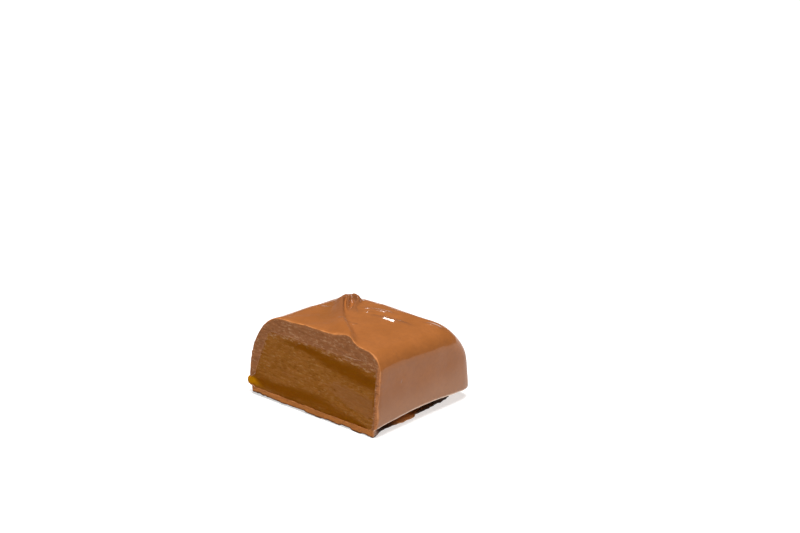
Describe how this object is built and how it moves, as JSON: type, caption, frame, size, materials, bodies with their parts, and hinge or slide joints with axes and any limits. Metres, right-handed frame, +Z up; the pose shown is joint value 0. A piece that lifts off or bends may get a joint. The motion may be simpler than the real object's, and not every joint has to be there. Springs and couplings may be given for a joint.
{
  "type": "caramel candy",
  "caption": "Milk chocolate coated caramel, cut across to show its chewy filling, with a swirled top and a ragged foot.",
  "frame": {"origin": "middle of the bounding box's underside, on the table that the candy rests on", "axes": "+Z up; the cut face looks along -Y; +X is the right of the cut face, and the swirl's peak is left of the middle"},
  "size_m": [0.0296, 0.0244, 0.0158],
  "materials": {
    "milk_chocolate": "satin milk chocolate, smooth outside and dull where it was cut",
    "caramel": "chewy caramel, slightly see-through, smeared by the knife"
  },
  "bodies": {
    "root": {"chocolate_coating": "milk_chocolate", "caramel_filling": "caramel"}
  },
  "joints": []
}
